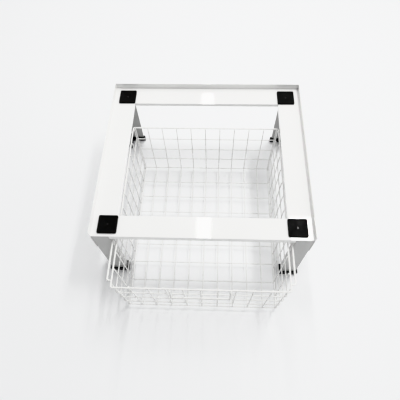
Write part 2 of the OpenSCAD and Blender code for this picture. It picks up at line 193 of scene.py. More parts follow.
class WireSettings(bpy.types.PropertyGroup):
    """Sizes of the basket's wires."""
    mesh: length("Mesh wire", "Diameter of the mesh wires", 3.2)
    rim: length("Rim wire", "Diameter of the rim wire", 4.5)
    runner: length("Runner wire", "Diameter of the runner wires", 5.0)
    handle: length("Handle wire", "Diameter of the handle wire", 5.0)
    mesh_bend: length("Mesh bend", "Centre-line radius of the mesh wires' bends", 4.0)
    hoop_bend: length("Hoop bend", "Centre-line radius of the hoops' corners", 5.0)
    rim_bend: length("Rim bend", "Centre-line radius of the rim's corners", 6.0)
    handle_bend: length("Handle bend", "Centre-line radius of the handle's corners", 6.0)
    front_lean: length("Front lean", "How far the front wall leans in at the bottom", 8.0)
    floor_cell: length("Floor cell", "Spacing of the cross wires, from the back wall", 62.0)
    side_cell: length("Side cell", "Spacing of the side uprights, from the front wall", 46.2)
    last_cell: length("Last cell", "Least length of the cell left over at the far end", 30.0)
    seam: length("Seam", "Seam between wires that are welded together", 0.05)
    cells_across: count("Cells across", "Cells across the basket", 10, 4, 16)
    rows: count("Rows", "Rows of cells up the walls", 4, 2, 8)
    weld: length("Weld spot", "Radius of the coated weld spots", 1.85)


class FinishSettings(bpy.types.PropertyGroup):
    """Colours and gloss of the finishes."""
    enamel: colour("Enamel", "White powder coat of the frame", (0.84, 0.84, 0.835))
    enamel_gloss: share("Enamel roughness", "Roughness of the powder coat", 0.045)
    coated: colour("Coated wire", "White coating of the basket's wires", (0.80, 0.80, 0.79))
    # The leg colour is far darker than the deck's enamel. It is painted shade on the legs' faces, not a
    # greyer paint.
    legs: colour("Leg enamel", "White powder coat of the legs, a shade greyer", (0.39, 0.39, 0.385))
    rubber: colour("Rubber", "Black rubber of the machine pads", (0.004, 0.004, 0.004))
    plastic: colour("Plastic", "Black plastic of the shoes", (0.008, 0.008, 0.009))
    zinc: colour("Zinc", "Plating of the rivets", (0.70, 0.71, 0.72))
    dull_zinc: colour("Dull zinc", "Passivated plating of the pad screws", (0.06, 0.06, 0.06))
    floor: colour("Floor", "Pale floor", (0.895, 0.90, 0.91))


class StageSettings(bpy.types.PropertyGroup):
    """Floor, light and camera."""
    floor_size: number("Floor", "Half the floor's width", 30.0, unit="LENGTH")
    lens: number("Lens", "Focal length of the camera", 34.06, unit="CAMERA")
    ceiling: number("Ceiling", "Height of the two light strips", 2.6, unit="LENGTH")
    side_power: number("Side strip", "Power of the strip over the right side", 27.0, unit="POWER")
    back_power: number("Back strip", "Power of the strip behind the pedestal", 26.0, unit="POWER")
    overhead: number("Overhead light", "Brightness of the room overhead", 0.2)
    behind: number("Light from behind", "Brightness of the room's back", 0.85)
    in_front: number("Light from the front", "Brightness of the room's front", 0.22)
    from_right: number("Light from the right", "Brightness of the room's right", 1.4)
    from_left: number("Light from the left", "Brightness of the room's left", 0.65)


SETTINGS = {
    "pedestal_sheet": SheetSettings,
    "pedestal_foot": FootSettings,
    "pedestal_wire": WireSettings,
    "pedestal_finish": FinishSettings,
    "pedestal_stage": StageSettings,
}


# ---- materials -------------------------------------------------------------------------------

SOFT_BAND = (0.35, 0.65)  # part of a noise that soft patches use
WIDE_BAND = (0.3, 0.7)  # a wider part, for slow changes
WHOLE = (0.0, 1.0)
EDGE_BAND = (0.985, 0.88)  # agreement of the soft and the true normal from a face to an edge
EDGE_SAMPLES = 6


def fill(tree, socket, value):
    """Links a socket to another or sets its value."""
    if isinstance(value, bpy.types.NodeSocket):
        tree.links.new(value, socket)
    else:
        socket.default_value = (*value, 1.0) if socket.type == "RGBA" else value


class Finish:
    """A material being made: a principled shader and the procedural nodes that feed it."""

    def __init__(self, name):
        self.material = bpy.data.materials.new(name)
        self.material.use_nodes = True
        self.tree = self.material.node_tree
        self.tree.nodes.clear()
        self.surface = self.tree.nodes.new("ShaderNodeBsdfPrincipled")
        output = self.tree.nodes.new("ShaderNodeOutputMaterial")
        self.tree.links.new(self.surface.outputs["BSDF"], output.inputs["Surface"])
        self.place = self.node("ShaderNodeTexCoord").outputs["Object"]

    def node(self, kind, **inputs):
        """A new node with some of its sockets filled."""
        made = self.tree.nodes.new(kind)
        for key, value in inputs.items():
            fill(self.tree, made.inputs[key.title()], value)
        return made

    def set(self, **inputs):
        """Fills sockets of the shader."""
        for key, value in inputs.items():
            fill(self.tree, self.surface.inputs[key.replace("_", " ")], value)

    def noise(self, scale, detail, roughness=0.5):
        """A noise in real metres."""
        return self.node("ShaderNodeTexNoise", vector=self.place, scale=scale, detail=detail,
                         roughness=roughness).outputs[0]

    def ranged(self, value, band, to=WHOLE):
        """A value moved from one range to another and held inside it."""
        made = self.node("ShaderNodeMapRange", value=value)
        for socket, limit in zip(made.inputs[1:5], (*band, *to)):
            socket.default_value = limit
        return made.outputs[0]

    def patches(self, scale, detail, band, to=WHOLE):
        """Patches of a noise: one band of it spread over a range."""
        return self.ranged(self.noise(scale, detail), band, to)

    def clouded(self, tint, by, scale, detail, band=SOFT_BAND):
        """A colour with darker clouds."""
        return self.mixed(self.patches(scale, detail, band), tint, darker(tint, by))

    def mixed(self, factor, one, other):
        """Blend of two colours."""
        made = self.node("ShaderNodeMix")
        made.data_type = "RGBA"
        for index, value in ((0, factor), (6, one), (7, other)):
            fill(self.tree, made.inputs[index], value)
        return made.outputs[2]

    def edges(self, radius):
        """1 on rounded edges, 0 on faces."""
        soft = self.node("ShaderNodeBevel", radius=radius)
        soft.samples = EDGE_SAMPLES
        alike = self.node("ShaderNodeVectorMath")
        alike.operation = "DOT_PRODUCT"
        fill(self.tree, alike.inputs[0], soft.outputs[0])
        fill(self.tree, alike.inputs[1], self.node("ShaderNodeNewGeometry").outputs["Normal"])
        return self.ranged(alike.outputs["Value"], EDGE_BAND)

    def worn_edges(self, radius, patches):
        """Rounded edges, worn only in patches."""
        made = self.node("ShaderNodeMath", value=self.edges(radius))
        made.operation = "MULTIPLY"
        fill(self.tree, made.inputs[1], patches)
        return made.outputs[0]

    def grain(self, sheen, *layers):
        """Roughness in patches, given as (scale, detail, least, most), and relief from layers of noise,
        each (scale, detail, height in metres), one on the other."""
        scale, detail, *rough = sheen
        self.set(Roughness=self.patches(scale, detail, WIDE_BAND, rough))
        last = None
        for scale, detail, height in layers:
            bump = self.node("ShaderNodeBump", distance=height, height=self.noise(scale, detail))
            if last:
                fill(self.tree, bump.inputs["Normal"], last)
            last = bump.outputs[0]
        self.set(Normal=last)
        return self.material


def darker(tint, by):
    """A colour times a number."""
    return tuple(c * by for c in tint)


def enamel_finish(name, tint):
    """Glossy white powder coat: faint orange peel, slow waves of the sheet, soft wear on edges."""
    made = Finish(name)
    gloss = bpy.context.scene.pedestal_finish.enamel_gloss
    specks = made.patches(900.0, 2.0, (0.70, 0.78), (0.0, 0.25))
    base = made.mixed(specks, made.clouded(tint, 0.965, 5.0, 4.0), darker(tint, 0.75))
    wear = made.worn_edges(0.0012, made.patches(60.0, 4.0, (0.45, 0.62), (0.15, 0.8)))
    made.set(Base_Color=made.mixed(wear, base, darker(tint, 0.80)), IOR=1.5, Coat_Weight=0.5,
             Coat_Roughness=0.02)
    return made.grain((35.0, 5.0, gloss * 0.75, gloss * 1.6), (7.0, 1.0, 0.0002), (520.0, 2.0, 0.000004))


def coated_wire_finish(name, tint):
    """White dipped coating on wire: a little softer than enamel, with thin and thick places."""
    made = Finish(name)
    rubbed = made.patches(140.0, 3.0, (0.66, 0.74), (0.0, 0.35))
    made.set(Base_Color=made.mixed(rubbed, made.clouded(tint, 0.93, 24.0, 4.0), darker(tint, 0.72)))
    return made.grain((90.0, 3.0, 0.2, 0.38), (260.0, 2.0, 0.00005), (1500.0, 2.0, 0.000008))


def rubber_finish(name, tint):
    """Black moulded rubber with a fine grain, a little dust and paler edges."""
    made = Finish(name)
    dust = made.ranged(made.noise(420.0, 6.0, 0.7), (0.56, 0.72), (0.0, 0.22))
    edges = made.ranged(made.edges(0.001), WHOLE, (0.0, 0.35))
    made.set(Base_Color=made.mixed(edges, made.mixed(dust, tint, (0.04, 0.04, 0.04)), (0.05, 0.05, 0.05)),
             Specular_IOR_Level=0.16)
    return made.grain((60.0, 4.0, 0.42, 0.62), (1800.0, 3.0, 0.00004))


def plastic_finish(name, tint):
    """Black moulded plastic with a spark-eroded grain and pale scuffs on its edges."""
    made = Finish(name)
    scuffs = made.worn_edges(0.001, made.patches(150.0, 5.0, (0.5, 0.62), (0.05, 0.6)))
    made.set(Base_Color=made.mixed(scuffs, tint, (0.12, 0.12, 0.12)), Specular_IOR_Level=0.3)
    return made.grain((75.0, 4.0, 0.34, 0.52), (2400.0, 2.0, 0.00003))


def zinc_finish(name, tint):
    """Zinc plating with a cloudy sheen and turning marks."""
    made = Finish(name)
    made.set(Base_Color=made.clouded(tint, 0.82, 300.0, 4.0), Metallic=1.0)
    return made.grain((800.0, 3.0, 0.2, 0.42), (1600.0, 3.0, 0.00002))


def floor_finish(name, tint):
    """Pale smooth board."""
    made = Finish(name)
    made.set(Base_Color=made.clouded(tint, 0.985, 1.7, 3.0, WIDE_BAND))
    return made.grain((12.0, 4.0, 0.4, 0.5), (700.0, 2.0, 0.00001))


# Each finish: how it is made, its colour's setting, and the slot of the record that it fills
FINISHES = {
    "white_enamel": (enamel_finish, "enamel", "enamelled_sheet"),
    # The legs' finish is the white enamel in a much darker tint, which paints the shade on the legs.
    "leg_enamel": (enamel_finish, "legs", "enamelled_sheet"),
    "white_coated_wire": (coated_wire_finish, "coated", "coated_wire"),
    "black_rubber": (rubber_finish, "rubber", "pad_rubber"),
    "black_plastic": (plastic_finish, "plastic", "shoe_plastic"),
    "zinc_plating": (zinc_finish, "zinc", "plated_steel"),
    "dull_zinc": (zinc_finish, "dull_zinc", "plated_steel"),
    "pale_floor": (floor_finish, "floor", None),
}


def finish(name):
    """The finish of that name, made once."""
    maker, setting, _ = FINISHES[name]
    tint = tuple(getattr(bpy.context.scene.pedestal_finish, setting))
    return bpy.data.materials.get(name) or maker(name, tint)


# ---- mesh tools ------------------------------------------------------------------------------

def placed(name, data):
    """A new object in the scene."""
    made = bpy.data.objects.new(name, data)
    bpy.context.scene.collection.objects.link(made)
    return made


def placed_mesh(name, bm):
    """A new object in the scene that takes a mesh over."""
    mesh = bpy.data.meshes.new(name)
    bm.to_mesh(mesh)
    bm.free()
    return placed(name, mesh)


def shade_flat_faces(made):
    """Keeps flat faces evenly shaded beside rounded edges."""
    made.modifiers.new("Even faces", "WEIGHTED_NORMAL").keep_sharp = True


def face_outwards(bm):
    """Turns every face's front outwards."""
    bmesh.ops.recalc_face_normals(bm, faces=bm.faces)
    return bm


def vectors(*places):
    """The places as vectors."""
    return [Vector(place) for place in places]


def piece(name, bm, look, body, nodes, flat=True):
    """Turns a mesh into a piece that rides on a body and stands for its CAD nodes."""
    face_outwards(bm)
    for face in bm.faces:
        face.smooth = True
    for edge in bm.edges:
        edge.smooth = len(edge.link_faces) == 2 and edge.calc_face_angle() < SHARP_FOLD
    made = placed_mesh(name, bm)
    made.data.materials.append(finish(look))
    if flat:
        shade_flat_faces(made)
    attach(made, body)
    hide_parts(*nodes)
    return made


def sheet_piece(name, bm, node):
    """A piece of the frame's enamelled sheet."""
    piece(name, bm, "white_enamel", "frame", [node])


def block_mesh(boxes, holes=()):
    """Closed skin round a union of boxes less some holes, each given by its lowest and highest corners."""
    bm = bmesh.new()
    places = [corner for box in (*boxes, *holes) for corner in box]
    lines = [sorted({round(place[axis], 6) for place in places}) for axis in range(3)]
    corners = {}

    def inside(middle, blocks):
        return any(all(low[a] < middle[a] < high[a] for a in range(3)) for low, high in blocks)

    def filled(cell):
        if any(n < 0 or n >= len(line) - 1 for n, line in zip(cell, lines)):
            return False
        middle = [(line[n] + line[n + 1]) / 2 for n, line in zip(cell, lines)]
        return inside(middle, boxes) and not inside(middle, holes)

    def moved(cell, *steps):
        cell = list(cell)
        for axis, step in steps:
            cell[axis] += step
        return tuple(cell)

    def vertex(key):
        if key not in corners:
            corners[key] = bm.verts.new([line[n] for n, line in zip(key, lines)])
        return corners[key]

    cells = [(i, j, k) for i in range(len(lines[0]) - 1) for j in range(len(lines[1]) - 1)
             for k in range(len(lines[2]) - 1)]
    for cell in filter(filled, cells):
        for axis in range(3):
            u, v = (a for a in range(3) if a != axis)
            for side in (0, 1):
                if not filled(moved(cell, (axis, 2 * side - 1))):
                    bm.faces.new([vertex(moved(cell, (axis, side), (u, du), (v, dv)))
                                  for du, dv in ((0, 0), (1, 0), (1, 1), (0, 1))])
    return face_outwards(bm)


def on_plane(edge, axis, *values):
    """True if the edge lies in one of those planes."""
    return any(all(abs(v.co[axis] - value) < ON_PLANE for v in edge.verts) for value in values)


def middle_of(edge):
    """The middle of an edge."""
    return (edge.verts[0].co + edge.verts[1].co) / 2


def within(place, axis, low, high):
    """True if the place lies between the two values or on one of them."""
    return low - ON_PLANE < place[axis] < high + ON_PLANE


def round_edges(bm, radius, segments, wanted):
    """Rounds the sharp outer edges that the test picks."""
    bm.normal_update()
    picked = [e for e in bm.edges if len(e.link_faces) == 2 and e.is_convex
              and e.calc_face_angle() > ROUNDED_FOLD and wanted(e)]
    if picked:
        bmesh.ops.bevel(bm, geom=picked, offset=radius, offset_type="OFFSET", segments=segments,
                        profile=0.5, affect="EDGES", clamp_overlap=False)


def mirror(bm, side):
    """Mirrors a mesh that was made for the left to the side asked for."""
    if side == RIGHT:
        for v in bm.verts:
            v.co.x = -v.co.x
        bmesh.ops.reverse_faces(bm, faces=bm.faces)
    return bm


def to_corner(bm, side, back):
    """Moves a front left leg or shoe to its own corner: the back ones stand inside the back panel."""
    if back:
        for v in bm.verts:
            v.co.y = BACK_PANEL_LOW.y - (v.co.y - FRONT_Y)
        bmesh.ops.reverse_faces(bm, faces=bm.faces)
    return mirror(bm, side)


def filleted(points, radius, steps=BEND_STEPS, closed=False):
    """The points of a path whose corners are rounded to a radius."""
    last = len(points) - 1
    path = []
    for i, p in enumerate(points):
        if not closed and i in (0, last):
            path.append(p.copy())
            continue
        before = (points[i - 1] - p).normalized()
        after = (points[(i + 1) % len(points)] - p).normalized()
        turn = math.pi - before.angle(after)
        reach = radius * math.tan(turn / 2)
        start = p + before * reach
        centre = p + (before + after).normalized() * (radius / math.cos(turn / 2))
        axis = (start - centre).cross(p + after * reach - centre).normalized()
        path += [centre + Matrix.Rotation(turn * step / steps, 3, axis) @ (start - centre)
                 for step in range(steps + 1)]
    return path


def directions(sides):
    """Cosine and sine of each direction of a ring."""
    return [(math.cos(a), math.sin(a)) for a in (2 * math.pi * n / sides for n in range(sides))]


def join_rings(bm, one, other):
    """Faces between two rings of vertices, either of which may be a single point."""
    sides = max(len(one), len(other))
    for n in range(sides):
        m = (n + 1) % sides
        if len(one) == 1:
            bm.faces.new((one[0], other[m], other[n]))
        elif len(other) == 1:
            bm.faces.new((one[n], one[m], other[0]))
        else:
            bm.faces.new((one[n], one[m], other[m], other[n]))


def join_rows(bm, rings, ends):
    """Joins rings of vertices one after the other, and closes the ends if asked."""
    for one, other in zip(rings, rings[1:]):
        join_rings(bm, one, other)
    if ends:
        bm.faces.new(list(reversed(rings[0])))
        bm.faces.new(rings[-1])


def loops(bm, rows, ends=True):
    """Joins closed rows of points, one after the other."""
    rings = [[bm.verts.new(p) for p in row] for row in rows]
    join_rows(bm, rings, ends)
    return rings


def tube(bm, path, radius, sides, closed):
    """Sweeps a round wire along a path. Open ends are domed inside the path's length."""
    total = len(path)
    stations = []
    for i, p in enumerate(path):
        before = path[i - 1] if closed or i else p
        after = path[(i + 1) % total] if closed or i < total - 1 else p
        stations.append((p, (after - before).normalized(), radius))
    if not closed:
        (first, start, _), *between, (last, end, _) = stations
        stations = [(first + start * radius * t, start, radius * r) for t, r in WIRE_END] + between
        stations += [(last - end * radius * t, end, radius * r) for t, r in reversed(WIRE_END)]
    rings = []
    across = stations[0][1].orthogonal().normalized()
    for i, (p, along, r) in enumerate(stations):
        if i:
            across = stations[i - 1][1].rotation_difference(along) @ across
            across = (across - along * across.dot(along)).normalized()
        side = along.cross(across)
        rings.append([bm.verts.new(p + (across * c + side * s) * r) for c, s in directions(sides)])
    join_rows(bm, rings, not closed)
    if closed:
        join_rings(bm, rings[-1], rings[0])


def lathe(bm, profile, sides, place):
    """Turns a profile of (radius, height) pairs about Z and puts it in its place."""
    rings = [[bm.verts.new(place @ Vector((r * c, r * s, h))) for c, s in directions(sides if r else 1)]
             for r, h in profile]
    join_rows(bm, rings, False)


def ribbon(path, half):
    """Left and right edges of a strip of sheet seen end on, along a path in the XY plane."""
    left, right = [], []
    for i, p in enumerate(path):
        along = (path[min(i + 1, len(path) - 1)] - path[max(i - 1, 0)]).normalized()
        across = Vector((-along.y, along.x, 0)) * half
        left.append(p + across)
        right.append(p - across)
    return left, right


def strip(bm, left, right):
    """Faces across a ribbon between two rows of vertices."""
    for n in range(len(left) - 1):
        bm.faces.new((left[n], left[n + 1], right[n + 1], right[n]))


def rounded_square(half, radius, z):
    """Points round a square with rounded corners, the same number for every radius."""
    points = []
    for quarter, (x, y) in enumerate(((1, 1), (-1, 1), (-1, -1), (1, -1))):
        for n in range(CORNER_STEPS + 1):
            a = math.pi / 2 * quarter + math.pi / 2 * n / CORNER_STEPS
            points.append(Vector(((half - radius) * x + radius * math.cos(a),
                                  (half - radius) * y + radius * math.sin(a), z)))
    return points


# ---- frame -----------------------------------------------------------------------------------

class PEDESTAL_OT_rails(bpy.types.Operator):
    """Builds the deck's four broad rails with their folded flanges"""
    bl_idname = "pedestal.rails"
    bl_label = "Deck rails"

    def execute(self, context):
        s = context.scene.pedestal_sheet
        under = DECK_Z - s.thickness
        for word, side in SIDES:
            bm = block_mesh([
                ((-LEG_X, FRONT_Y, under), (-OPEN_X, RAIL_HIGH.y, DECK_Z)),
                ((-OPEN_X - s.thickness, OPEN_FRONT, RAIL_LOW.z), (-OPEN_X, OPEN_BACK, DECK_Z)),
            ])
            round_edges(bm, s.fold, FOLD_SEGMENTS, lambda e: on_plane(e, 2, DECK_Z) and (
                on_plane(e, 1, FRONT_Y)
                or (on_plane(e, 0, -OPEN_X) and within(middle_of(e), 1, OPEN_FRONT, OPEN_BACK))))
            round_edges(bm, s.edge, EDGE_SEGMENTS, lambda e: within(middle_of(e), 2, 0, under - s.edge))
            sheet_piece(f"{word}_rail_sheet", mirror(bm, side), f"{word}_rail")
        bm = block_mesh([
            ((-OPEN_X, FRONT_Y, under), (OPEN_X, OPEN_FRONT, DECK_Z)),
            ((FRONT_LOW.x, FRONT_Y, FRONT_LOW.z), (FRONT_HIGH.x, FRONT_Y + s.thickness, under)),
            ((-OPEN_X, OPEN_FRONT - s.thickness, RAIL_LOW.z), (OPEN_X, OPEN_FRONT, DECK_Z)),
        ])
        round_edges(bm, s.fold, FOLD_SEGMENTS,
                    lambda e: on_plane(e, 2, DECK_Z) and on_plane(e, 1, FRONT_Y, OPEN_FRONT))
        round_edges(bm, s.edge, EDGE_SEGMENTS, lambda e: on_plane(e, 2, FRONT_LOW.z, RAIL_LOW.z))
        sheet_piece("front_rail_sheet", bm, "front_rail")
        bm = block_mesh([
            ((-OPEN_X, OPEN_BACK, under), (OPEN_X, BACK_HIGH.y, DECK_Z)),
            ((-OPEN_X, OPEN_BACK, BACK_LOW.z), (OPEN_X, OPEN_BACK + s.thickness, DECK_Z)),
        ])
        round_edges(bm, s.fold, FOLD_SEGMENTS, lambda e: on_plane(e, 2, DECK_Z) and on_plane(e, 1, OPEN_BACK))
        round_edges(bm, s.edge, EDGE_SEGMENTS, lambda e: on_plane(e, 2, BACK_LOW.z))
        sheet_piece("back_rail_sheet", bm, "back_rail")
        return {"FINISHED"}


class PEDESTAL_OT_panels(bpy.types.Operator):
    """Builds the side and back panels, each a rim above the deck and a skirt below it"""
    bl_idname = "pedestal.panels"
    bl_label = "Rim panels"

    def execute(self, context):
        s = context.scene.pedestal_sheet
        low, high = PANEL_LOW, PANEL_HIGH
        places = ((FRONT_Y, low.z), (BACK_Y, low.z), (BACK_Y, high.z), (FRONT_Y, high.z))
        corners = [Vector((0, y, z)) for y, z in places]
        outline = []
        for n, corner in enumerate(corners):
            radius = s.rim_corner if places[n] == (FRONT_Y, high.z) else PANEL_CORNER
            outline += filleted([corners[n - 1], corner, corners[(n + 1) % 4]], radius)[1:-1]
        for word, side in SIDES:
            bm = bmesh.new()
            loops(bm, [[Vector((x, p.y, p.z)) for p in outline] for x in (low.x, high.x)])
            face_outwards(bm)
            round_edges(bm, s.edge, PANEL_SEGMENTS, lambda e: True)
            sheet_piece(f"{word}_panel_sheet", mirror(bm, side), f"{word}_panel")
        bm = block_mesh([(BACK_PANEL_LOW, BACK_PANEL_HIGH)])
        round_edges(bm, s.edge, PANEL_SEGMENTS, lambda e: on_plane(e, 2, BACK_PANEL_HIGH.z, BACK_PANEL_LOW.z))
        sheet_piece("back_panel_sheet", bm, "back_panel")
        return {"FINISHED"}


class PEDESTAL_OT_legs(bpy.types.Operator):
    """Builds the four legs, each folded to an angle; the front ones have a lip too"""
    bl_idname = "pedestal.legs"
    bl_label = "Legs"

    def execute(self, context):
        s = context.scene.pedestal_sheet
        for corner, side, back in CORNERS:
            edges = ribbon(self.centre_line(s, not back), s.thickness / 2)
            bm = bmesh.new()
            low, high = ([[bm.verts.new((p.x, p.y, z)) for p in edge] for edge in edges]
                         for z in (LEG_LOW.z, LEG_HIGH.z))
            for foot, top in zip(low, high):
                strip(bm, foot, top)
            strip(bm, *low)
            strip(bm, *high)
            for end in (0, -1):
                bm.faces.new((low[0][end], low[1][end], high[1][end], high[0][end]))
            face_outwards(bm)
            round_edges(bm, s.edge, EDGE_SEGMENTS, lambda e: not on_plane(e, 2, LEG_LOW.z, LEG_HIGH.z))
            # The legs take the darkened enamel, which paints their shade.
            piece(f"leg_{corner}_sheet", to_corner(bm, side, back), "leg_enamel", "frame", [f"leg_{corner}"])
        return {"FINISHED"}

    def centre_line(self, s, lip):
        """Centre line of a front left leg's folded sheet, with a lip on its wing or without one."""
        half = s.thickness / 2
        outer, front, wing = LEG_LOW.x + half, LEG_LOW.y + half, LEG_HIGH.x - half
        corners = [(wing, LEG_LOW.y + s.lip), (wing, front)] if lip else [(LEG_HIGH.x, front)]
        corners += [(outer, front), (outer, LEG_HIGH.y)]
        return filleted([Vector((x, y, 0)) for x, y in corners], s.leg_bend, FOLD_STEPS)


class PEDESTAL_OT_shoes(bpy.types.Operator):
    """Builds the four moulded shoes, each with a slot that the leg stands in"""
    bl_idname = "pedestal.shoes"
    bl_label = "Foot shoes"

    def execute(self, context):
        s, sheet = context.scene.pedestal_foot, context.scene.pedestal_sheet
        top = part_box("shoe_front_left")[1].z
        for corner, side, back in CORNERS:
            lip = 0.0 if back else sheet.lip
            walls = self.leg_boxes(sheet.thickness, lip, s.shoe_wall, 0.0, top)
            slot = self.leg_boxes(sheet.thickness, lip, s.shoe_fit, s.shoe_sole, top + MM)
            bm = block_mesh(walls, slot)
            above = [v for v in bm.verts if v.co.z > top + ON_PLANE]
            bmesh.ops.delete(bm, geom=above, context="VERTS")
            round_edges(bm, SLOT_EDGE, EDGE_SEGMENTS,
                        lambda e: on_plane(e, 2, top) and self.by_slot(e, slot))
            round_edges(bm, s.shoe_edge, MOULD_SEGMENTS, lambda e: not self.by_slot(e, slot))
            piece(f"shoe_{corner}_moulding", to_corner(bm, side, back), "black_plastic", "frame",
                  [f"shoe_{corner}"])
        return {"FINISHED"}

    def leg_boxes(self, sheet, lip, grown, low, high):
        """A front left leg's wings between two heights, grown all round, with the lip if it has one."""
        x0, x1, y0, y1 = LEG_LOW.x, LEG_HIGH.x, LEG_LOW.y, LEG_HIGH.y
        wings = [(x0, y0, x1, y0 + sheet), (x0, y0, x0 + sheet, y1)]
        if lip:
            wings.append((x1 - sheet, y0, x1, y0 + lip))
        return [((a - grown, b - grown, low), (c + grown, d + grown, high)) for a, b, c, d in wings]

    def by_slot(self, edge, slot):
        """True if the edge's middle lies on or in the slot, seen from above."""
        middle = middle_of(edge)
        return any(all(within(middle, axis, low[axis], high[axis]) for axis in (0, 1)) for low, high in slot)


class PEDESTAL_OT_pads(bpy.types.Operator):
    """Builds the four rubber pads: raised border and a face dished towards the screw"""
    bl_idname = "pedestal.pads"
    bl_label = "Machine pads"

    def execute(self, context):
        s = context.scene.pedestal_foot
        for corner, _, _ in CORNERS:
            low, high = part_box(f"pad_{corner}")
            centre = Vector(((low.x + high.x) / 2, (low.y + high.y) / 2, low.z))
            rings = self.rings(s, (high.x - low.x) / 2, high.z - low.z)
            bm = bmesh.new()
            made = loops(bm, [[centre + p for p in ring] for ring in rings], ends=False)
            join_rings(bm, made[-1], made[0])
            piece(f"pad_{corner}_rubber", bm, "black_rubber", "frame", [f"pad_{corner}"], flat=False)
        return {"FINISHED"}

    def rings(self, s, half, thick):
        """Rings of a pad from its foot over its border and dish to the foot of the screw's hole."""
        dish, lip, floor = half - s.pad_border, thick - s.pad_lip, thick - s.pad_dish
        seat, hole = s.screw_head / 2 + HEAD_FIT, s.screw_shank / 2 + HOLE_FIT
        rows = [(half - PAD_FOOT, s.pad_corner, 0.0), (half, s.pad_corner, PAD_FOOT)]
        rows += [(half - a * MM, s.pad_corner - b * MM, thick - c * MM) for a, b, c in PAD_EDGE]
        rows += [(dish + a * MM, b * MM, thick - c * MM) for a, b, c in PAD_STEP]
        rows += [(dish - a * MM, b * MM, lip - c * MM) for a, b, c in PAD_DISH]
        top, middle = lip - DISH_DROP * MM, seat + DISH_END * MM
        for n in range(1, DISH_ROWS):
            f = n / DISH_ROWS
            rows.append((dish + (middle - dish) * f, DISH_CORNER * MM, top + (floor - top) * f))
        rings = [rounded_square(*row) for row in rows]
        angles = [math.atan2(p.y, p.x) for p in rings[0]]
        for radius, z in ((seat + SEAT_EDGE[0] * MM, floor), (seat, floor - SEAT_EDGE[1] * MM),
                          (hole, floor - s.screw_head / 4 - HOLE_FIT), (hole, 0.0)):
            rings.append([Vector((radius * math.cos(a), radius * math.sin(a), z)) for a in angles])
        return rings


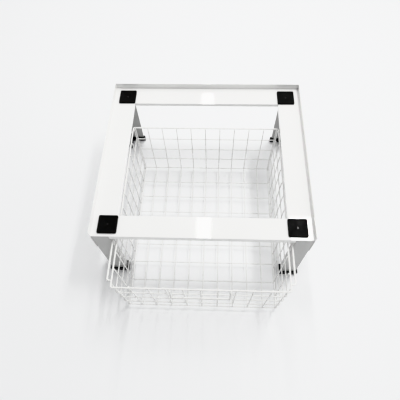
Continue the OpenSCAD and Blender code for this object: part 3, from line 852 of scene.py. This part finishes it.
class PEDESTAL_OT_fasteners(bpy.types.Operator):
    """Builds the cross-recess pad screws and the domed rivets"""
    bl_idname = "pedestal.fasteners"
    bl_label = "Screws and rivets"

    def execute(self, context):
        s, sheet = context.scene.pedestal_foot, context.scene.pedestal_sheet
        low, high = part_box("pad_screws")
        for corner, _, _ in CORNERS:
            pad_low, pad_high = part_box(f"pad_{corner}")
            x, y = (pad_low.x + pad_high.x) / 2, (pad_low.y + pad_high.y) / 2
            self.screw(f"pad_screw_{corner}", Vector((x, y, high.z)), high.z - low.z, s)
        self.leg_rivets(s, sheet)
        self.channel_rivets(s, sheet)
        return {"FINISHED"}

    def screw(self, name, top, depth, s):
        """One countersunk screw with a cross recess and a threaded end."""
        head, shank = s.screw_head / 2, s.screw_shank / 2
        profile = [(0.0, 0.0)] + [(head - a * MM, -b * MM) for a, b in SCREW_RIM]
        profile.append((shank, -head / 2 - SCREW_NECK[0] * MM))
        z = -head / 2 - SCREW_NECK[1] * MM
        for _ in range(int((depth - head / 2 - SCREW_PLAIN * MM) / PITCH)):
            profile += [(shank, z), (shank - THREAD_DEPTH * MM, z - PITCH / 2)]
            z -= PITCH
        profile += [(shank - a * MM, b * MM - depth) for a, b in SCREW_TIP] + [(0.0, -depth)]
        bm = bmesh.new()
        lathe(bm, profile, SCREW_SIDES, Matrix.Translation(top))
        made = piece(name, bm, "dull_zinc", "frame", ["pad_screws"], flat=False)
        self.carve(made, placed_mesh(f"{name}_recess", self.recess(top, head)))
        shade_flat_faces(made)

    def recess(self, top, head):
        """The two crossed bars that cut a screw's recess, narrower at the bottom."""
        bm = bmesh.new()
        for turn in (0, 90):
            turned = Matrix.Rotation(math.radians(RECESS_TURN + turn), 3, "Z")
            rows = []
            for z, f in RECESS_ROWS:
                long, wide = head * RECESS_ARM * f, RECESS_HALF_WIDTH * MM
                box = ((-long, -wide), (long, -wide), (long, wide), (-long, wide))
                rows.append([top + turned @ Vector((x, y, z * MM)) for x, y in box])
            loops(bm, rows)
        face_outwards(bm)
        return bm

    def carve(self, made, tool):
        """Cuts one object out of another and takes the tool away."""
        cut = made.modifiers.new("Recess", "BOOLEAN")
        cut.operation, cut.solver, cut.use_self, cut.object = "DIFFERENCE", "EXACT", True, tool
        graph = bpy.context.evaluated_depsgraph_get()
        carved = bpy.data.meshes.new_from_object(made.evaluated_get(graph))
        made.modifiers.clear()
        made.data = carved
        bpy.data.objects.remove(tool)

    def rivet(self, bm, s, place, tall, grip, end):
        """One rivet through the left side: a domed head outside, a shank and whatever end it is formed to."""
        head, shank = s.rivet_head / 2, s.rivet_shank / 2
        arc = [math.pi / 2 * n / DOME_STEPS for n in range(DOME_STEPS)]
        profile = [(0.0, tall)] + [(head * math.cos(a), tall * math.sin(a)) for a in reversed(arc)]
        profile += [(shank, 0.0), (shank, -grip)] + end
        lathe(bm, profile, RIVET_SIDES, Matrix.Translation(place) @ Matrix.Rotation(-math.pi / 2, 4, "Y"))

    def leg_rivets(self, s, sheet):
        """Rivets from the side panels into the legs: heads outside and formed ends inside."""
        low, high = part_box("leg_rivets")
        head, tall, grip = s.rivet_head / 2, -HALF_W - low.x, 2 * sheet.thickness
        end = [(head - a * MM, -grip - b * MM) for a, b in FORMED_END]
        end += [(head - FORMED_TOP * MM, -grip - tall), (0.0, -grip - tall)]
        for word, side in SIDES:
            bm = bmesh.new()
            for y in (low.y + head, high.y - head):
                for z in (low.z + head, high.z - head):
                    self.rivet(bm, s, (-HALF_W, y, z), tall, grip, end)
            piece(f"leg_rivets_{word}", mirror(bm, side), "zinc_plating", "frame", ["leg_rivets"])

    def channel_rivets(self, s, sheet):
        """Rivets that hold the runner channels to the front legs' lips."""
        low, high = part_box("channel_rivets")
        face, grip = CHANNEL_LOW.x - sheet.thickness, sheet.thickness + sheet.channel_thickness
        place = (face, low.y + s.rivet_head / 2, (low.z + high.z) / 2)
        for word, side in SIDES:
            bm = bmesh.new()
            self.rivet(bm, s, place, face - low.x, grip, [(0.0, -grip)])
            piece(f"channel_rivets_{word}", mirror(bm, side), "zinc_plating", "frame", ["channel_rivets"])


class PEDESTAL_OT_channels(bpy.types.Operator):
    """Builds the two runner channels with their stop tabs"""
    bl_idname = "pedestal.channels"
    bl_label = "Runner channels"

    def execute(self, context):
        s = context.scene.pedestal_sheet
        low, high, t = CHANNEL_LOW, CHANNEL_HIGH, s.channel_thickness
        closed, opened = frame["joints"][0]["range_m"]
        front_stop = RUNNER_HIGH.y - context.scene.pedestal_wire.runner - opened - STOP_GAP
        back_stop = RUNNER_HIGH.y - closed + STOP_GAP
        boxes = [((low.x, low.y, low.z), (low.x + t, high.y, high.z)),
                 ((low.x, low.y, low.z), (high.x, high.y, low.z + t)),
                 ((low.x, low.y, high.z - t), (high.x, high.y, high.z))]
        for y in (front_stop - s.stop_width, back_stop):
            boxes.append(((high.x - t, y, low.z), (high.x, y + s.stop_width, high.z)))
        for word, side in SIDES:
            bm = block_mesh(boxes)
            round_edges(bm, CHANNEL_FOLD, MOULD_SEGMENTS,
                        lambda e: on_plane(e, 0, low.x) and on_plane(e, 2, low.z, high.z))
            round_edges(bm, CHANNEL_EDGE, EDGE_SEGMENTS,
                        lambda e: on_plane(e, 0, high.x) or on_plane(e, 1, low.y))
            sheet_piece(f"channel_{word}_section", mirror(bm, side), f"channel_{word}")
        return {"FINISHED"}


# ---- basket ----------------------------------------------------------------------------------

class BasketPlan:
    """Places of the basket's wires about its middle, from the nodes' boxes and the wire sizes."""

    def __init__(self, w):
        self.mesh, self.out = w.mesh, w.mesh + w.seam
        self.rim_x, self.rim_y = (RIM_HIGH.x - RIM_LOW.x - w.rim) / 2, (RIM_HIGH.y - RIM_LOW.y - w.rim) / 2
        inset = (w.rim + w.mesh) / 2 + w.seam
        self.top_x, self.top_y = self.rim_x - inset, self.rim_y - inset
        self.long_z, self.cross_z = LONG_LOW.z + w.mesh / 2, CROSS_LOW.z + w.mesh / 2
        self.lean = math.atan(w.front_lean / (RIM_Z - self.long_z))

        nest = (w.mesh_bend + self.out) * math.sin(math.pi / 4)
        bend = w.mesh_bend * math.tan((math.pi / 2 - self.lean) / 2)
        self.low_z = self.long_z + w.mesh_bend - nest
        self.low_front = self.top_y - w.front_lean - bend + nest
        self.low_back = self.top_y - w.mesh_bend + nest
        self.upper_hoops = []
        for i in range(1, w.rows):
            z = RIM_Z + (self.low_z - RIM_Z) * i / w.rows
            front = self.top_y + self.out - (RIM_Z - z) * math.tan(self.lean)
            self.upper_hoops.append((z, front, self.top_y + self.out))
        self.hoops = [*self.upper_hoops, (self.low_z, self.low_front, self.low_back)]

        self.edge_x = self.top_x - self.out
        cell = 2 * self.rim_x / w.cells_across
        inner = [(i - w.cells_across / 2) * cell for i in range(1, w.cells_across)]
        self.long_places = [-self.edge_x, *inner, self.edge_x]
        crosses = int((2 * self.top_y - w.front_lean - w.last_cell) / w.floor_cell)
        self.cross_places = [self.top_y - i * w.floor_cell for i in range(1, crosses + 1)]
        sides = int((2 * self.top_y - w.last_cell) / w.side_cell)
        self.side_places = [i * w.side_cell - self.top_y for i in range(1, sides + 1)]
        self.side_places.append(self.low_back - w.hoop_bend)
        self.corner_place = w.hoop_bend - self.low_front

    def side_places_at(self, z):
        """Places of the side uprights at a height. The corner one leans with the front wall."""
        rise = z - self.low_z + self.mesh / 2
        return [*self.side_places, self.corner_place - rise * math.tan(self.lean)]


def wire_piece(name, path, diameter, node, closed=False, sides=WIRE_SIDES):
    """One coated wire of the basket."""
    bm = bmesh.new()
    tube(bm, path, diameter / 2, sides, closed)
    piece(name, bm, "white_coated_wire", "basket", [node], flat=False)


def level_hoop(half_x, front, back, z, bend):
    """Path of a closed wire hoop round the basket."""
    front, back = BASKET_Y - front, BASKET_Y + back
    corners = vectors((-half_x, front, z), (half_x, front, z), (half_x, back, z), (-half_x, back, z))
    return filleted(corners, bend, closed=True)


class PEDESTAL_OT_basket_rim(bpy.types.Operator):
    """Builds the basket's thick rim wire, its two runner wires and the pull handle"""
    bl_idname = "pedestal.basket_rim"
    bl_label = "Rim, runners and handle"

    def execute(self, context):
        w = context.scene.pedestal_wire
        plan = BasketPlan(w)
        hoop = level_hoop(plan.rim_x, plan.rim_y, plan.rim_y, RIM_Z, w.rim_bend)
        wire_piece("rim_wire", hoop, w.rim, "basket_rim", closed=True, sides=THICK_WIRE_SIDES)
        inner, outer = RUNNER_HIGH.x, RUNNER_LOW.x + w.runner / 2
        near, far = RUNNER_LOW.y + w.runner / 2, RUNNER_HIGH.y - w.runner / 2
        for word, side in SIDES:
            corners = vectors(*((-side * x, y, RIM_Z) for x, y in (
                (inner, near), (outer, near), (outer, far), (inner, far))))
            wire_piece(f"runner_{word}_wire", filleted(corners, w.runner), w.runner, f"runner_{word}",
                       sides=THICK_WIRE_SIDES)
        top_y, foot_y = RIM_LOW.y - w.handle / 2 - w.seam, HANDLE_LOW.y + w.handle / 2
        half = (HANDLE_HIGH.x - HANDLE_LOW.x - w.handle) / 2
        foot_z = HANDLE_LOW.z + w.handle / 2
        corners = vectors((-half, top_y, RIM_Z), (-half, foot_y, foot_z),
                          (half, foot_y, foot_z), (half, top_y, RIM_Z))
        wire_piece("handle_wire", filleted(corners, w.handle_bend, HANDLE_STEPS), w.handle, "handle",
                   sides=THICK_WIRE_SIDES)
        return {"FINISHED"}


class PEDESTAL_OT_basket_mesh(bpy.types.Operator):
    """Builds the mesh of the basket wire by wire: hoops, long wires, cross wires and side uprights"""
    bl_idname = "pedestal.basket_mesh"
    bl_label = "Mesh wires"

    def execute(self, context):
        w = context.scene.pedestal_wire
        plan = BasketPlan(w)
        for n, (z, front, back) in enumerate(plan.hoops, 1):
            hoop = level_hoop(plan.top_x + plan.out, front, back, z, w.hoop_bend)
            wire_piece(f"hoop_{n}", hoop, w.mesh, "basket_hoops", closed=True)
        wall = ((-plan.top_y, RIM_Z), (w.front_lean - plan.top_y, plan.long_z),
                (plan.top_y, plan.long_z), (plan.top_y, RIM_Z))
        for n, x in enumerate(plan.long_places, 1):
            path = filleted([Vector((x, BASKET_Y + y, z)) for y, z in wall], w.mesh_bend)
            wire_piece(f"long_wire_{n:02d}", path, w.mesh, "basket_long_wires")
        half = plan.edge_x + w.mesh / 2
        for n, y in enumerate(plan.cross_places, 1):
            path = [Vector((x, BASKET_Y + y, plan.cross_z)) for x in (-half, 0.0, half)]
            wire_piece(f"cross_wire_{n:02d}", path, w.mesh, "basket_cross_wires")
        foot = plan.low_z - w.mesh / 2
        lows, highs = plan.side_places_at(foot), plan.side_places_at(RIM_Z)
        ends = list(zip(lows, highs))
        for word, side in SIDES:
            for n, (low, high) in enumerate([ends[-1], *ends[:-1]], 1):
                path = [Vector((side * plan.top_x, BASKET_Y + low + (high - low) * t,
                                foot + (RIM_Z - foot) * t)) for t in (0.0, 0.5, 1.0)]
                wire_piece(f"upright_{word}_{n:02d}", path, w.mesh, "basket_side_wires")
        return {"FINISHED"}


class PEDESTAL_OT_welds(bpy.types.Operator):
    """Builds the coated weld spots where the basket's wires touch"""
    bl_idname = "pedestal.welds"
    bl_label = "Weld spots"

    def execute(self, context):
        w = context.scene.pedestal_wire
        plan = BasketPlan(w)
        half, big = w.mesh / 2, BIG_WELD * w.weld
        under_rim = RIM_Z - WELD_DROP
        bm = bmesh.new()

        def spot(x, y, z, across, radius=w.weld):
            turn = Vector((0, 0, 1)).rotation_difference(Vector(across).normalized()).to_matrix().to_4x4()
            place = Matrix.Translation((x, BASKET_Y + y, z))
            bmesh.ops.create_icosphere(bm, subdivisions=2, radius=radius,
                                       matrix=place @ turn @ Matrix.Diagonal((1, 1, WELD_FLATNESS, 1)))

        for x in plan.long_places:
            for y in plan.cross_places:
                spot(x, y, plan.long_z - half, (0, 0, 1))
        nested = (plan.out / 2) * math.sin(math.pi / 4)
        for x in plan.long_places:
            for z, front, back in plan.upper_hoops:
                spot(x, -front + half, z, (0, 1, 0))
                spot(x, back - half, z, (0, 1, 0))
            spot(x, -plan.low_front + nested, plan.low_z + nested, (0, 1, 1))
            spot(x, plan.low_back - nested, plan.low_z + nested, (0, 1, -1))
            for end in (-1, 1):
                spot(x, end * (plan.rim_y - w.rim / 2), under_rim, (0, 1, 0))
        for _, side in SIDES:
            for z, _, _ in plan.hoops:
                for y in plan.side_places_at(z):
                    spot(side * (plan.top_x + half), y, z, (1, 0, 0))
            for y in plan.side_places_at(RIM_Z):
                spot(side * (plan.rim_x - w.rim / 2), y, under_rim, (1, 0, 0))
            for y in (RUNNER_LOW.y + w.runner / 2, RUNNER_HIGH.y - w.runner / 2):
                spot(side * (plan.rim_x + w.rim / 2), y - BASKET_Y, RIM_Z, (1, 0, 0), big)
            reach = (HANDLE_HIGH.x - HANDLE_LOW.x - w.handle) / 2
            spot(side * reach, -plan.rim_y - w.rim / 2, under_rim, (0, 1, 0), big)
        piece("weld_spots", bm, "white_coated_wire", "basket", [], flat=False)
        return {"FINISHED"}


# ---- stage -----------------------------------------------------------------------------------

class PEDESTAL_OT_stage(bpy.types.Operator):
    """Sets out the pale floor, the room light, two ceiling strips and the camera"""
    bl_idname = "pedestal.stage"
    bl_label = "Floor, light and camera"

    def execute(self, context):
        s = context.scene.pedestal_stage
        self.floor(s)
        self.room(context, s)
        self.strip("side_strip", SIDE_STRIP, s.ceiling, s.side_power)
        self.strip("back_strip", BACK_STRIP, s.ceiling, s.back_power)
        self.camera(context, s)
        context.scene.view_settings.view_transform = "Khronos PBR Neutral"
        return {"FINISHED"}

    def floor(self, s):
        """A large flat floor."""
        bm = bmesh.new()
        bmesh.ops.create_grid(bm, x_segments=12, y_segments=12, size=s.floor_size)
        made = placed_mesh("floor", bm)
        made.data.materials.append(finish("pale_floor"))

    def room(self, context, s):
        """Room light from all round and above, each direction with its own strength."""
        world = bpy.data.worlds.new("room")
        context.scene.world = world
        world.use_nodes = True
        tree = world.node_tree
        tree.nodes.clear()
        output = tree.nodes.new("ShaderNodeOutputWorld")
        light = tree.nodes.new("ShaderNodeBackground")
        fill(tree, light.inputs["Color"], ROOM_COLOUR)
        parts = tree.nodes.new("ShaderNodeSeparateXYZ")
        fill(tree, parts.inputs[0], tree.nodes.new("ShaderNodeTexCoord").outputs["Generated"])

        def maths(kind, one, other):
            node = tree.nodes.new("ShaderNodeMath")
            node.operation = kind
            fill(tree, node.inputs[0], one)
            fill(tree, node.inputs[1], other)
            return node.outputs[0]

        glow = maths("MULTIPLY", maths("MAXIMUM", parts.outputs[2], 0.0), s.overhead)
        for axis, sign, strength in ((1, 1.0, s.behind), (1, -1.0, s.in_front),
                                     (0, 1.0, s.from_right), (0, -1.0, s.from_left)):
            part = maths("MAXIMUM", maths("MULTIPLY", parts.outputs[axis], sign), 0.0)
            glow = maths("ADD", glow, maths("MULTIPLY", part, strength))
        fill(tree, light.inputs["Strength"], glow)
        tree.links.new(light.outputs[0], output.inputs["Surface"])

    def strip(self, name, place_and_size, ceiling, power):
        """A rectangular light in the ceiling."""
        place, size = place_and_size
        lamp = bpy.data.lights.new(name, "AREA")
        lamp.shape = "RECTANGLE"
        lamp.size, lamp.size_y = size
        lamp.energy = power
        lamp.color = STRIP_COLOUR
        placed(name, lamp).location = (*place, ceiling)

    def camera(self, context, s):
        """Camera at the photograph's angle, looking down from in front."""
        eye = bpy.data.cameras.new("camera")
        eye.lens, eye.sensor_width = s.lens, SENSOR_WIDTH
        eye.clip_start, eye.clip_end = CAMERA_CLIP
        right, down = Vector(CAMERA_RIGHT).normalized(), Vector(CAMERA_DOWN)
        down = (down - right * down.dot(right)).normalized()
        turn = Matrix((right, -down, -right.cross(down))).transposed()
        made = placed("camera", eye)
        made.matrix_world = Matrix.Translation(CAMERA_PLACE) @ turn.to_4x4()
        context.scene.camera = made


class PEDESTAL_PT_sidebar(bpy.types.Panel):
    """Lists the pedestal's sizes, finishes and builders"""
    bl_idname = "PEDESTAL_PT_sidebar"
    bl_label = "Laundry pedestal"
    bl_space_type = "VIEW_3D"
    bl_region_type = "UI"
    bl_category = "Pedestal"

    def draw(self, context):
        for name in SETTINGS:
            box = self.layout.box()
            group = getattr(context.scene, name)
            box.label(text=name.replace("pedestal_", "").capitalize())
            for prop in group.bl_rna.properties:
                if prop.identifier not in ("name", "rna_type"):
                    box.prop(group, prop.identifier)
        for operator in OPERATORS:
            self.layout.operator(operator.bl_idname)


OPERATORS = [
    PEDESTAL_OT_rails, PEDESTAL_OT_panels, PEDESTAL_OT_legs, PEDESTAL_OT_shoes, PEDESTAL_OT_pads,
    PEDESTAL_OT_fasteners, PEDESTAL_OT_channels, PEDESTAL_OT_basket_rim, PEDESTAL_OT_basket_mesh,
    PEDESTAL_OT_welds, PEDESTAL_OT_stage,
]


def register():
    """Adds the settings, the builders and the sidebar."""
    for kind in [*SETTINGS.values(), *OPERATORS, PEDESTAL_PT_sidebar]:
        bpy.utils.register_class(kind)
    for name, kind in SETTINGS.items():
        setattr(bpy.types.Scene, name, PointerProperty(type=kind))


def unregister():
    """Takes them away again."""
    for name in SETTINGS:
        delattr(bpy.types.Scene, name)
    for kind in reversed([*SETTINGS.values(), *OPERATORS, PEDESTAL_PT_sidebar]):
        bpy.utils.unregister_class(kind)


def main():
    """Builds every piece and the stage."""
    register()
    bpy.ops.pedestal.rails()
    bpy.ops.pedestal.panels()
    bpy.ops.pedestal.legs()
    bpy.ops.pedestal.shoes()
    bpy.ops.pedestal.pads()
    bpy.ops.pedestal.fasteners()
    bpy.ops.pedestal.channels()
    bpy.ops.pedestal.basket_rim()
    bpy.ops.pedestal.basket_mesh()
    bpy.ops.pedestal.welds()
    bpy.ops.pedestal.stage()


if __name__ == "__main__":
    main()
